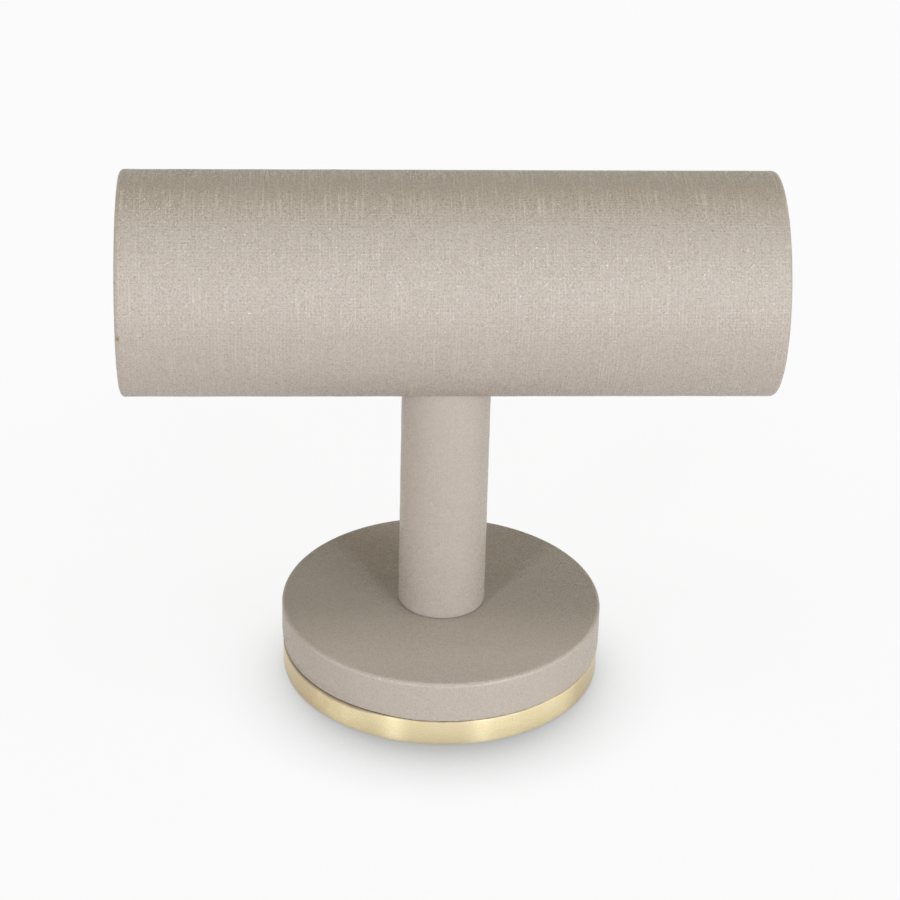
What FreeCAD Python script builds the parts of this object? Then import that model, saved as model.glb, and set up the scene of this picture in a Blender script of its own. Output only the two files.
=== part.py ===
import FreeCAD, Part
import math
import os

# T-bar display stand: a round covered bar on a covered post, on a covered
# disc that lies on a metal plate. All sizes are in millimetres.
# Origin: centre of the base on the table. X runs along the bar, Z is up.

# Bar
bar_length = 165.0
bar_diameter = 57.0
bar_axis_height = 112.0      # from the table to the bar's axis
bar_rim_round = 1.3
mouth_rim_round = 0.5
tube_wall = 3.0
mouth_turn_in = 8.0          # how far the covering runs into the tube's mouth
cap_set_in = 0.5             # how far the end caps lie inside the bar's ends
cap_board_thickness = 2.0
cap_ring_width = 6.0
cap_rim_round = 0.95

# Covering, the same material on every covered piece
cover_thickness = 0.8
seam_gap = 0.25

# Post
post_diameter = 23.0
foot_round = 0.95
tenon_diameter = 12.0
tenon_depth = 6.0

# Base
base_diameter = 85.0
base_height = 19.0           # from the table to the covered top
base_rim_round = 1.1
base_under_round = 0.95
base_ring_width = 10.0       # covering turned under the disc
plate_top_height = 7.6
plate_edge_round = 0.4
plate_inset = 0.3            # how far the plate stands in from the covering
pad_thickness = 0.8
pad_proud = 0.3
pad_inset = 3.0

# Fastening
bolt_diameter = 5.0
bolt_head_diameter = 13.0
bolt_head_height = 3.0
bolt_head_round = 2.6
bolt_neck_side = 5.4
bolt_neck_height = 3.0
bolt_tip_beyond_nut = 0.3
bolt_tip_chamfer = 0.6
saddle_length = 28.0
saddle_width = 20.0
saddle_thickness = 3.6
washer_diameter = 15.0
washer_thickness = 1.0
nut_across_flats = 8.0
nut_thickness = 2.7

# Clearances
glue_film = 0.05
cap_clearance = 0.1
tenon_clearance = 0.1
tenon_end_room = 0.2
cover_hole_clearance = 0.5
bolt_clearance = 0.25
neck_clearance = 0.15
thread_clearance = 0.05
filler_clearance = 0.3
pad_clearance = 0.2
wrench_room = 1.0
bolt_tip_room = 0.6

# What the covering takes up on each covered face
cover_space = cover_thickness + glue_film

# Radii worked out from the bar inwards
bar_radius = bar_diameter / 2
tube_outer_radius = bar_radius - cover_space
tube_inner_radius = tube_outer_radius - tube_wall
lining_outer_radius = tube_inner_radius - glue_film
mouth_radius = lining_outer_radius - cover_thickness
cap_radius = mouth_radius - cap_clearance
cap_board_radius = cap_radius - cover_space
cap_face = bar_length / 2 - cap_set_in
cap_back = cap_face - cap_board_thickness - 2 * cover_space

# Radii and heights of the post and the base
post_radius = post_diameter / 2
tenon_radius = tenon_diameter / 2
cover_hole_radius = tenon_radius + cover_hole_clearance
base_radius = base_diameter / 2
plate_radius = base_radius - plate_inset
pad_recess_radius = plate_radius - pad_inset
board_radius = base_radius - cover_space
board_top = base_height - cover_space
board_bottom = plate_top_height + cover_space
ring_inner_radius = base_radius - base_ring_width
core_foot = base_height + cover_space
tenon_end = board_top - tenon_depth

# Heights and radii along the bolt
bolt_radius = bolt_diameter / 2
bolt_hole_radius = bolt_radius + bolt_clearance
head_seat = bar_axis_height - tube_inner_radius + saddle_thickness
bolt_tip = pad_thickness + bolt_tip_room
nut_bottom = bolt_tip + bolt_tip_beyond_nut
nut_top = nut_bottom + nut_thickness
washer_top = nut_top + washer_thickness
counterbore_radius = washer_diameter / 2 + wrench_room


def inner_round(outer_round):
    """Rounding of the surface that lies one covering inside a rounded edge."""
    return max(outer_round - cover_thickness, 0.0)


def rounded_outline(corners):
    """Closed wire in the XZ plane through (radius, height, rounding) corners."""
    points = [FreeCAD.Vector(radius, 0, height) for radius, height, rounding in corners]
    starts, ends, edges = [], [], []
    for index, corner in enumerate(points):
        rounding = corners[index][2]
        before = points[index - 1] - corner
        after = points[(index + 1) % len(points)] - corner
        before.normalize()
        after.normalize()
        if rounding <= 0:
            starts.append(corner)
            ends.append(corner)
            continue
        half_angle = before.getAngle(after) / 2
        reach = rounding / math.tan(half_angle)
        inward = before + after
        inward.normalize()
        middle = corner + inward * (rounding / math.sin(half_angle) - rounding)
        starts.append(corner + before * reach)
        ends.append(corner + after * reach)
        edges.append(Part.Arc(starts[-1], middle, ends[-1]).toShape())
    for index, end in enumerate(ends):
        start = starts[(index + 1) % len(starts)]
        edges.append(Part.LineSegment(end, start).toShape())
    return Part.Wire(Part.__sortEdges__(edges))


def turned(corners):
    """Solid turned about the Z axis from its half section."""
    section = Part.Face(rounded_outline(corners))
    return section.revolve(FreeCAD.Vector(0, 0, 0), FreeCAD.Vector(0, 0, 1), 360)


def laid_in_bar(shape):
    """The shape with its Z axis turned to X and moved up to the bar's axis."""
    lying = shape.rotated(FreeCAD.Vector(0, 0, 0), FreeCAD.Vector(0, 1, 0), 90)
    return lying.translated(FreeCAD.Vector(0, 0, bar_axis_height))


def rod_along_bar(radius, length):
    """Solid rod on the bar's axis, centred on the post."""
    rod = Part.makeCylinder(radius, length, FreeCAD.Vector(0, 0, -length / 2))
    return laid_in_bar(rod)


def bolt_hole(lowest, highest):
    """Round hole on the post's axis that the tie bolt passes through."""
    return Part.makeCylinder(bolt_hole_radius, highest - lowest, FreeCAD.Vector(0, 0, lowest))


def square_bar(side, lowest, highest):
    """Square bar on the post's axis between two heights."""
    corner = FreeCAD.Vector(-side / 2, -side / 2, lowest)
    return Part.makeBox(side, side, highest - lowest, corner)


def make_bar_tube():
    """Rigid board tube that carries the covering, with a hole for the bolt."""
    half = bar_length / 2 - cover_space
    edge = inner_round(bar_rim_round)
    tube = laid_in_bar(turned([
        (tube_inner_radius, -half, 0),
        (tube_outer_radius, -half, edge),
        (tube_outer_radius, half, edge),
        (tube_inner_radius, half, 0),
    ]))
    return tube.cut(bolt_hole(bar_axis_height - bar_radius, bar_axis_height))


def make_bar_cover():
    """Covering glued round the tube, turned over both ends into the mouths.

    Its two long edges meet in a butt seam along the underside.
    """
    half = bar_length / 2
    inside = half - cover_thickness
    turned_end = half - mouth_turn_in
    wall = bar_radius - cover_thickness
    edge = inner_round(bar_rim_round)
    cover = laid_in_bar(turned([
        (mouth_radius, -half, mouth_rim_round),
        (bar_radius, -half, bar_rim_round),
        (bar_radius, half, bar_rim_round),
        (mouth_radius, half, mouth_rim_round),
        (mouth_radius, turned_end, 0),
        (lining_outer_radius, turned_end, 0),
        (lining_outer_radius, inside, 0),
        (wall, inside, edge),
        (wall, -inside, edge),
        (lining_outer_radius, -inside, 0),
        (lining_outer_radius, -turned_end, 0),
        (mouth_radius, -turned_end, 0),
    ]))
    seam_corner = FreeCAD.Vector(-half, -seam_gap / 2, bar_axis_height - bar_radius)
    seam = Part.makeBox(bar_length, seam_gap, bar_radius, seam_corner)
    hole = bolt_hole(bar_axis_height - bar_radius, bar_axis_height)
    return cover.cut(seam).cut(hole)


def make_end_board(side):
    """Stiff disc inside the end cap; side is -1 for left and 1 for right."""
    outer = side * (cap_face - cover_space)
    inner = side * (cap_back + cover_space)
    edge = inner_round(cap_rim_round)
    return laid_in_bar(turned([
        (0, inner, 0),
        (cap_board_radius, inner, edge),
        (cap_board_radius, outer, edge),
        (0, outer, 0),
    ]))


def make_end_cover(side):
    """Covering over the end cap's face and edge, turned onto its back."""
    face = side * cap_face
    back = side * cap_back
    face_inside = side * (cap_face - cover_thickness)
    back_inside = side * (cap_back + cover_thickness)
    wall = cap_radius - cover_thickness
    ring = cap_radius - cap_ring_width
    edge = inner_round(cap_rim_round)
    return laid_in_bar(turned([
        (0, face, 0),
        (cap_radius, face, cap_rim_round),
        (cap_radius, back, cap_rim_round),
        (ring, back, 0),
        (ring, back_inside, 0),
        (wall, back_inside, edge),
        (wall, face_inside, edge),
        (0, face_inside, 0),
    ]))


def make_saddle_block():
    """Block in the tube: round below, flat on top for the bolt's head."""
    lowest = bar_axis_height - tube_inner_radius
    corner = FreeCAD.Vector(-saddle_length / 2, -saddle_width / 2, lowest)
    block = Part.makeBox(saddle_length, saddle_width, saddle_thickness, corner)
    block = block.common(rod_along_bar(tube_inner_radius - glue_film, saddle_length))
    return block.cut(square_bar(bolt_neck_side + 2 * neck_clearance, lowest, head_seat))


def make_tie_bolt():
    """Round-headed bolt with a square neck, from the bar down to the nut."""
    head_radius = bolt_head_diameter / 2
    tip_radius = bolt_radius - bolt_tip_chamfer
    bolt = turned([
        (0, bolt_tip, 0),
        (tip_radius, bolt_tip, 0),
        (bolt_radius, bolt_tip + bolt_tip_chamfer, 0),
        (bolt_radius, head_seat, 0),
        (head_radius, head_seat, 0),
        (head_radius, head_seat + bolt_head_height, bolt_head_round),
        (0, head_seat + bolt_head_height, 0),
    ])
    neck = square_bar(bolt_neck_side, head_seat - bolt_neck_height, head_seat)
    return bolt.fuse(neck).removeSplitter()


def make_post_core():
    """Turned wooden post, bored for the bolt, with a tenon at its foot."""
    core_radius = post_radius - cover_space
    core = turned([
        (bolt_hole_radius, tenon_end, 0),
        (tenon_radius, tenon_end, 0),
        (tenon_radius, core_foot, 0),
        (core_radius, core_foot, inner_round(foot_round)),
        (core_radius, bar_axis_height, 0),
        (bolt_hole_radius, bar_axis_height, 0),
    ])
    return core.cut(rod_along_bar(bar_radius + glue_film, bar_length))


def make_post_cover():
    """Covering round the post, turned under at the foot, shaped to the bar.

    Its butt seam runs up the back.
    """
    wall = post_radius - cover_thickness
    cover = turned([
        (cover_hole_radius, base_height, 0),
        (post_radius, base_height, foot_round),
        (post_radius, bar_axis_height, 0),
        (wall, bar_axis_height, 0),
        (wall, base_height + cover_thickness, inner_round(foot_round)),
        (cover_hole_radius, base_height + cover_thickness, 0),
    ])
    seam_corner = FreeCAD.Vector(-seam_gap / 2, 0, base_height)
    seam = Part.makeBox(seam_gap, post_radius, bar_axis_height - base_height, seam_corner)
    return cover.cut(rod_along_bar(bar_radius + glue_film, bar_length)).cut(seam)


def make_base_board():
    """Board disc with a blind socket for the post's tenon and a bolt hole."""
    socket_radius = tenon_radius + tenon_clearance
    socket_floor = tenon_end - tenon_end_room
    return turned([
        (bolt_hole_radius, board_bottom, 0),
        (board_radius, board_bottom, inner_round(base_under_round)),
        (board_radius, board_top, inner_round(base_rim_round)),
        (socket_radius, board_top, 0),
        (socket_radius, socket_floor, 0),
        (bolt_hole_radius, socket_floor, 0),
    ])


def make_base_cover():
    """Covering over the disc's top and edge, turned under as a ring."""
    wall = base_radius - cover_thickness
    return turned([
        (cover_hole_radius, base_height, 0),
        (base_radius, base_height, base_rim_round),
        (base_radius, plate_top_height, base_under_round),
        (ring_inner_radius, plate_top_height, 0),
        (ring_inner_radius, plate_top_height + cover_thickness, 0),
        (wall, plate_top_height + cover_thickness, inner_round(base_under_round)),
        (wall, base_height - cover_thickness, inner_round(base_rim_round)),
        (cover_hole_radius, base_height - cover_thickness, 0),
    ])


def make_filler_card():
    """Card disc that levels the space inside the turned-under ring."""
    return turned([
        (bolt_hole_radius, plate_top_height, 0),
        (ring_inner_radius - filler_clearance, plate_top_height, 0),
        (ring_inner_radius - filler_clearance, board_bottom, 0),
        (bolt_hole_radius, board_bottom, 0),
    ])


def make_trim_plate():
    """Metal plate with rounded edges, a recess for the pad and a counterbore."""
    return turned([
        (bolt_hole_radius, plate_top_height, 0),
        (plate_radius, plate_top_height, plate_edge_round),
        (plate_radius, pad_proud, plate_edge_round),
        (pad_recess_radius, pad_proud, 0),
        (pad_recess_radius, pad_thickness, 0),
        (counterbore_radius, pad_thickness, 0),
        (counterbore_radius, washer_top, 0),
        (bolt_hole_radius, washer_top, 0),
    ])


def make_clamp_washer():
    """Flat washer at the top of the counterbore."""
    return turned([
        (bolt_hole_radius, nut_top, 0),
        (washer_diameter / 2, nut_top, 0),
        (washer_diameter / 2, washer_top, 0),
        (bolt_hole_radius, washer_top, 0),
    ])


def make_clamp_nut():
    """Thin hexagon nut that pulls the bar, post and base together."""
    corner_radius = nut_across_flats / math.sqrt(3)
    corners = []
    for index in range(7):
        angle = math.radians(60 * index)
        x, y = corner_radius * math.cos(angle), corner_radius * math.sin(angle)
        corners.append(FreeCAD.Vector(x, y, nut_bottom))
    prism = Part.Face(Part.makePolygon(corners)).extrude(FreeCAD.Vector(0, 0, nut_thickness))
    bore_corner = FreeCAD.Vector(0, 0, nut_bottom)
    bore = Part.makeCylinder(bolt_radius + thread_clearance, nut_thickness, bore_corner)
    return prism.cut(bore)


def make_base_pad():
    """Felt disc in the plate's recess, standing a little proud of it."""
    pad_radius = pad_recess_radius - pad_clearance
    return Part.makeCylinder(pad_radius, pad_thickness)


nodes = {
    "bar_tube": make_bar_tube(),
    "bar_cover": make_bar_cover(),
    "saddle_block": make_saddle_block(),
    "tie_bolt": make_tie_bolt(),
    "post_core": make_post_core(),
    "post_cover": make_post_cover(),
    "base_board": make_base_board(),
    "base_cover": make_base_cover(),
    "filler_card": make_filler_card(),
    "trim_plate": make_trim_plate(),
    "clamp_washer": make_clamp_washer(),
    "clamp_nut": make_clamp_nut(),
    "base_pad": make_base_pad(),
}
for side_name, side in (("left", -1), ("right", 1)):
    nodes[side_name + "_end_board"] = make_end_board(side)
    nodes[side_name + "_end_cover"] = make_end_cover(side)

os.makedirs("parts", exist_ok=True)
for name, shape in nodes.items():
    shape.exportStep("parts/" + name + ".step")
    print(name, "solids", len(shape.Solids), "valid", shape.isValid(),
          "volume", round(shape.Volume, 1))
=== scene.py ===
import math

import bmesh
import bpy
import numpy as np
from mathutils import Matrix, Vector


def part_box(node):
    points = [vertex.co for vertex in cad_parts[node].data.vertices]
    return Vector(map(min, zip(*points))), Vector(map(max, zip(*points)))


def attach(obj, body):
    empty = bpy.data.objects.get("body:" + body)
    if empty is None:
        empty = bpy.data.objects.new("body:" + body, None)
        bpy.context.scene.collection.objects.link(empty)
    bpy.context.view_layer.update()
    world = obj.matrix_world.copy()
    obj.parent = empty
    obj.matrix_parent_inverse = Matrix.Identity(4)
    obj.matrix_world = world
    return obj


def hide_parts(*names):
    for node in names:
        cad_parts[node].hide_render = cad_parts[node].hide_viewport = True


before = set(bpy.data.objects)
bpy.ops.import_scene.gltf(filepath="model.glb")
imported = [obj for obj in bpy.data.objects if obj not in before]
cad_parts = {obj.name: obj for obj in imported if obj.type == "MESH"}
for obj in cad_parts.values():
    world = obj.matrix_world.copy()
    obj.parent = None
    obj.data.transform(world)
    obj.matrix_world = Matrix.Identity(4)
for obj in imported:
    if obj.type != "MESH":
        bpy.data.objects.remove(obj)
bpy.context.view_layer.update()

mm = 0.001              # sizes in the dictionaries are real millimetres
weldGap = 0.0005        # points nearer than this, in millimetres, become one
creaseAngle = 50        # an edge that turns by more degrees than this stays sharp
front = (0.0, -1.0, 0.0)
right = (1.0, 0.0, 0.0)
up = (0.0, 0.0, 1.0)
scene = bpy.context.scene
scene.view_settings.view_transform = "Standard"


def cadSpan(node):
    # lowest and highest corner of a CAD node, in millimetres
    low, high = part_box(node)
    return np.array(low) / mm, np.array(high) / mm


def roundedPath(corners, runSteps, arcSteps=7):
    # open outline through (along, radius, rounding) corners. A straight run is
    # start + (end - start) * t, and a corner is the arc centre + rounding * (cos a, sin a)
    # that touches both of its runs
    points = np.array([corner[:2] for corner in corners], float)
    parts = []
    start = points[0]
    for index in range(1, len(points)):
        end = points[index]
        arc = None
        if index < len(points) - 1:
            rounding = corners[index][2]
            before = points[index - 1] - end
            after = points[index + 1] - end
            before = before / np.linalg.norm(before)
            after = after / np.linalg.norm(after)
            half = math.acos(float(before @ after)) / 2
            middle = (before + after) / np.linalg.norm(before + after)
            centre = points[index] + middle * rounding / math.sin(half)
            leave = points[index] + after * rounding / math.tan(half)
            end = points[index] + before * rounding / math.tan(half)
            first = math.atan2(*(end - centre)[::-1])
            turn = math.atan2(*(leave - centre)[::-1]) - first
            turn = (turn + math.pi) % (2 * math.pi) - math.pi
            sweep = first + turn * np.linspace(0, 1, arcSteps + 1)
            arc = centre + rounding * np.stack([np.cos(sweep), np.sin(sweep)], -1)
        share = np.linspace(0, 1, runSteps[index - 1] + 1)[:-1, None]
        parts.append(start + (end - start) * share)
        if arc is None:
            parts.append(end[None])
        else:
            parts.append(arc[:-1])
            start = arc[-1]
    return np.concatenate(parts)


def spin(along, radius, angles, axis, out, side, origin=(0, 0, 0)):
    # point = origin + axis * along + radius * (out * cos a + side * sin a)
    ring = np.cos(angles)[:, None] * np.array(out) + np.sin(angles)[:, None] * np.array(side)
    return np.array(origin) + along[..., None] * np.array(axis) + radius[..., None] * ring


def ripple(u, v, size, seed):
    # sum of seven sine waves of about one size in seeded directions, near -1 to 1
    draw = np.random.default_rng(seed)
    total = 0
    for turn in range(7):
        angle, phase = draw.uniform(0, 2 * math.pi, 2)
        pace = 2 * math.pi / size * draw.uniform(0.6, 1.6)
        total = total + np.sin(pace * (u * math.cos(angle) + v * math.sin(angle)) + phase)
    return total / math.sqrt(7)


def arcLength(path):
    # distance walked along the path up to each of its points
    steps = np.linalg.norm(np.diff(path, axis=0), axis=1)
    return np.concatenate([[0], np.cumsum(steps)])


def smooth(low, high, value):
    # 0 below low, 1 above high, and 3t^2 - 2t^3 in between
    t = np.clip((value - low) / (high - low), 0, 1)
    return t * t * (3 - 2 * t)


def loopOf(face, back):
    # the sheet's face, then its back in reverse, then its first row again
    return np.concatenate([face, back[::-1], face[:1]])


def meshFromGrid(name, grid, cloth, seam=False):
    # face (i, j) joins the grid's points (i, j), (i, j+1), (i+1, j+1) and (i+1, j). With a
    # seam, the sheet's two cut edges are strips between its face and its back
    rows, columns = grid.shape[:2]
    number = np.arange(rows * columns).reshape(rows, columns)
    corners = [number[:-1, :-1], number[:-1, 1:], number[1:, 1:], number[1:, :-1]]
    quads = np.stack(corners, -1).reshape(-1, 4)
    if seam:
        step = np.arange((rows - 1) // 2 - 1)
        facing = rows - 2 - step
        for column in (0, columns - 1):
            edge = [number[step, column], number[step + 1, column],
                    number[facing - 1, column], number[facing, column]]
            quads = np.concatenate([quads, np.stack(edge, -1)])
    mesh = bpy.data.meshes.new(name)
    mesh.from_pydata((grid.reshape(-1, 3) * mm).tolist(), [], quads.tolist())
    corner = np.empty(len(mesh.loops), np.int32)
    mesh.loops.foreach_get("vertex_index", corner)
    layer = mesh.uv_layers.new(name="cloth")
    layer.data.foreach_set("uv", cloth.reshape(-1, 2)[corner].astype(np.float32).ravel())
    work = bmesh.new()
    work.from_mesh(mesh)
    bmesh.ops.remove_doubles(work, verts=work.verts, dist=weldGap * mm)
    bmesh.ops.recalc_face_normals(work, faces=work.faces)
    for face in work.faces:
        face.smooth = True
    for edge in work.edges:
        edge.smooth = edge.calc_face_angle(0) < math.radians(creaseAngle)
    work.to_mesh(mesh)
    work.free()
    return mesh


def addPiece(name, grid, cloth, material, node, seam=False):
    mesh = meshFromGrid(name, grid, cloth, seam)
    mesh.materials.append(material)
    piece = bpy.data.objects.new(name, mesh)
    scene.collection.objects.link(piece)
    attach(piece, "root")
    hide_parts(node)
    print("made", name, len(mesh.polygons), "faces")
    return piece


def toLinear(hexColour):
    # sRGB hex to linear: c / 12.92 below 0.04045, else ((c + 0.055) / 1.055) ^ 2.4
    value = np.array([int(hexColour[i:i + 2], 16) / 255 for i in (1, 3, 5)])
    linear = np.where(value <= 0.04045, value / 12.92, ((value + 0.055) / 1.055) ** 2.4)
    return (*linear.tolist(), 1.0)


def addNode(tree, kind, inputs=None, **settings):
    # adds a node, sets its settings, and gives each input a value or a link
    node = tree.nodes.new(kind)
    for name, value in settings.items():
        setattr(node, name, value)
    for key, value in (inputs or {}).items():
        if isinstance(value, bpy.types.NodeSocket):
            tree.links.new(value, node.inputs[key])
        else:
            node.inputs[key].default_value = value
    return node


def newMaterial(name):
    material = bpy.data.materials.new(name)
    material.use_nodes = True
    material.node_tree.nodes.clear()
    return material, material.node_tree


linen = {
    "deep": "#9B9286",        # the taupe of the coating, in the valleys of its pattern
    "pale": "#B9B0A4",        # on the threads that stand highest, where more pearl lies
    "ground": 0.06,           # how pale it is before the pattern's own shares
    "even": 0.46,             # how pale it is on average
    "nickBrown": "#8A6B4A",   # the backing cloth where the coating is chipped
    "speckDark": "#6E6353",
    "markEdge": (0.7, 1.3),   # share of a mark's size where it is full, and where it ends
    "markRagged": 0.8,        # how far the grain frays that edge
    "paintedTopShading": "#9A9078",      # painted shade along the bar's top: duller and more olive
    "paintedTopShadingShare": 0.13,
    "paintedTopShadingThreads": 3.0,     # and its threads are painted this many times as pale, a painted highlight
    "threadPitch": 0.85,      # all sizes and heights are millimetres
    "weaveHeight": 0.035, "weavePale": 0.16,
    "threadWidth": 0.42,      # now and then one thread stands above the others
    "threadLength": 14.0,
    "threadSeen": (0.54, 0.72),     # parts of the noise that make such a thread
    "threadHeight": 0.036, "threadPale": 0.30,
    "crossHeight": 0.020, "crossPale": 0.14,
    "wanderLength": 12.0,     # the threads bend a little
    "wander": 0.15,
    "bandWidth": 8.0,         # slow unevenness of the glued sheet
    "bandLength": 40.0,
    "bandSeen": (0.2, 0.8),
    "bandHeight": 0.02,
    "grainSize": 0.30,
    "grainSpread": (0.3, 0.7),      # nearly all of the noise lies between these
    "grainHeight": 0.012, "grainPale": 0.22,
    "flakeSize": 0.25,        # real flakes are under 0.1, drawn as coarse as one pixel
    "flakePale": 0.42,
    "flakeRarity": 3.0,       # power of an even chance: most flakes lie deep, a few shine
    "bareShare": 0.36,        # flakes that lie bare on the lacquer and mirror the lamps
    "bareTilt": 0.60, "bareRoughness": 0.26,
    "sunkTilt": 0.20, "sunkRoughness": (0.54, 0.62),
    "ior": 1.59,              # 1.5 for the lacquer alone, raised by its mica
    "softRelief": 0.35,       # relief on post, base and end caps, where it is stretched more
    "calming": 0.8,           # how much of the flakes' lean goes with the relief
}


def pearlLinenLeatherette(name, marks=(), relief=1.0, paintedTopShading=None):
    # polyurethane leatherette on a cloth backing: rolled with a linen pattern and sprayed
    # with a pearl lacquer full of mica flakes. The eye gets a warm taupe under a broad,
    # near-white sheen that sparkles where it is bright. Relief is the share of the rolled
    # pattern that is left once the cloth is stretched on, and the last argument is (middle,
    # full, none) of a strip across the cloth that gets painted shade and paler painted threads
    material, tree = newMaterial(name)
    cloth = addNode(tree, "ShaderNodeUVMap", uv_map="cloth").outputs["UV"]
    drift = addNode(tree, "ShaderNodeTexNoise", {
        "Vector": cloth, "Scale": 1 / linen["wanderLength"], "Detail": 1.0})
    wander = (linen["wander"],) * 3
    place = addNode(tree, "ShaderNodeVectorMath", {
        0: drift.outputs["Color"], 1: wander, 2: cloth}, operation="MULTIPLY_ADD").outputs[0]
    waveScale = math.pi / 10 / linen["threadPitch"]   # a band is pi / 10 wide at scale 1
    threads = [addNode(tree, "ShaderNodeTexWave", {
        "Vector": place, "Scale": waveScale}, bands_direction=along).outputs["Fac"]
        for along in "XY"]
    crossing = addNode(tree, "ShaderNodeTexChecker", {
        "Vector": place, "Scale": 1 / linen["threadPitch"]}).outputs["Fac"]
    weave = addNode(tree, "ShaderNodeMix", {
        "Factor": crossing, 2: threads[0], 3: threads[1]}, data_type="FLOAT").outputs[0]
    grain = addNode(tree, "ShaderNodeTexNoise", {
        "Vector": cloth, "Scale": 1 / linen["grainSize"], "Detail": 2.0}).outputs["Fac"]
    flakes = addNode(tree, "ShaderNodeTexVoronoi", {
        "Vector": cloth, "Scale": 1 / linen["flakeSize"]}).outputs
    chance = addNode(tree, "ShaderNodeTexWhiteNoise", {
        "Vector": flakes["Position"]}).outputs["Value"]
    paintedTopShadingMask = 0.0
    # the strip along the bar's top that gets painted shade and paler painted threads
    if paintedTopShading:
        across = addNode(tree, "ShaderNodeSeparateXYZ", {0: cloth}).outputs["Y"]
        fromMiddle = addNode(tree, "ShaderNodeMath", {
            0: across, 1: paintedTopShading[0]}, operation="SUBTRACT").outputs[0]
        aside = addNode(tree, "ShaderNodeMath", {0: fromMiddle}, operation="ABSOLUTE").outputs[0]
        paintedTopShadingMask = addNode(tree, "ShaderNodeMapRange", {
            "Value": aside, "From Min": paintedTopShading[2], "From Max": paintedTopShading[1]},
            interpolation_type="SMOOTHSTEP").outputs["Result"]
    shine = addNode(tree, "ShaderNodeMath", {
        0: chance, 1: linen["flakeRarity"]}, operation="POWER").outputs[0]
    layers = [(weave, "weaveHeight", "weavePale"), (grain, "grainHeight", "grainPale"),
              (shine, None, "flakePale")]
    thin, long = 1 / linen["threadWidth"], 1 / linen["threadLength"]
    band = (1 / linen["bandWidth"], 1 / linen["bandLength"], 0)
    for stretch, (low, high), names in (
            ((thin, long, 0), linen["threadSeen"], ("threadHeight", "threadPale")),
            ((long, thin, 0), linen["threadSeen"], ("crossHeight", "crossPale")),
            (band, linen["bandSeen"], ("bandHeight", None))):
        scaled = addNode(tree, "ShaderNodeVectorMath", {
            0: place, 1: stretch}, operation="MULTIPLY").outputs[0]
        wavy = addNode(tree, "ShaderNodeTexNoise", {
            "Vector": scaled, "Scale": 1.0, "Detail": 1.0}).outputs["Fac"]
        raised = addNode(tree, "ShaderNodeMapRange", {
            "Value": wavy, "From Min": low, "From Max": high},
            interpolation_type="SMOOTHSTEP").outputs["Result"]
        if paintedTopShading and names[0] == "threadHeight":       # painted paler threads there, but no higher
            stronger = addNode(tree, "ShaderNodeMapRange", {
                "Value": paintedTopShadingMask, "To Min": 1.0, "To Max": linen["paintedTopShadingThreads"]})
            paintedPaleThreads = addNode(tree, "ShaderNodeMath", {
                0: raised, 1: stronger.outputs["Result"]}, operation="MULTIPLY").outputs[0]
            layers.append((paintedPaleThreads, None, names[1]))
            names = (names[0], None)
        layers.append((raised, *names))
    height, paleness = 0.0, linen["ground"]
    for layer, heightName, paleName in layers:
        if heightName:
            height = addNode(tree, "ShaderNodeMath", {
                0: layer, 1: linen[heightName], 2: height}, operation="MULTIPLY_ADD").outputs[0]
        if paleName:
            paleness = addNode(tree, "ShaderNodeMath", {
                0: layer, 1: linen[paleName], 2: paleness}, operation="MULTIPLY_ADD").outputs[0]
    evened = addNode(tree, "ShaderNodeMix", {
        "Factor": relief, 2: linen["even"], 3: paleness}, data_type="FLOAT").outputs[0]
    colour = addNode(tree, "ShaderNodeMix", {
        "Factor": evened, 6: toLinear(linen["deep"]), 7: toLinear(linen["pale"])},
        data_type="RGBA").outputs[2]
    # painted shade: that strip is mixed towards a duller, more olive colour
    if paintedTopShading:
        share = addNode(tree, "ShaderNodeMath", {
            0: paintedTopShadingMask, 1: linen["paintedTopShadingShare"]}, operation="MULTIPLY").outputs[0]
        colour = addNode(tree, "ShaderNodeMix", {
            "Factor": share, 6: colour, 7: toLinear(linen["paintedTopShading"])}, data_type="RGBA").outputs[2]
    full, ends = linen["markEdge"]
    for mark in marks:
        away = addNode(tree, "ShaderNodeVectorMath", {
            0: cloth, 1: (*mark["at"], 0)}, operation="SUBTRACT").outputs[0]
        shaped = addNode(tree, "ShaderNodeVectorMath", {
            0: away, 1: (1 / mark["size"][0], 1 / mark["size"][1], 0)}, operation="MULTIPLY")
        reach = addNode(tree, "ShaderNodeVectorMath", {
            0: shaped.outputs[0]}, operation="LENGTH").outputs["Value"]
        ragged = addNode(tree, "ShaderNodeMath", {
            0: grain, 1: linen["markRagged"], 2: reach}, operation="MULTIPLY_ADD").outputs[0]
        inside = addNode(tree, "ShaderNodeMapRange", {
            "Value": ragged, "From Min": ends, "From Max": full,
            "To Max": mark["strength"]}).outputs["Result"]
        colour = addNode(tree, "ShaderNodeMix", {
            "Factor": inside, 6: colour, 7: toLinear(mark["colour"])},
            data_type="RGBA").outputs[2]
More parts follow.
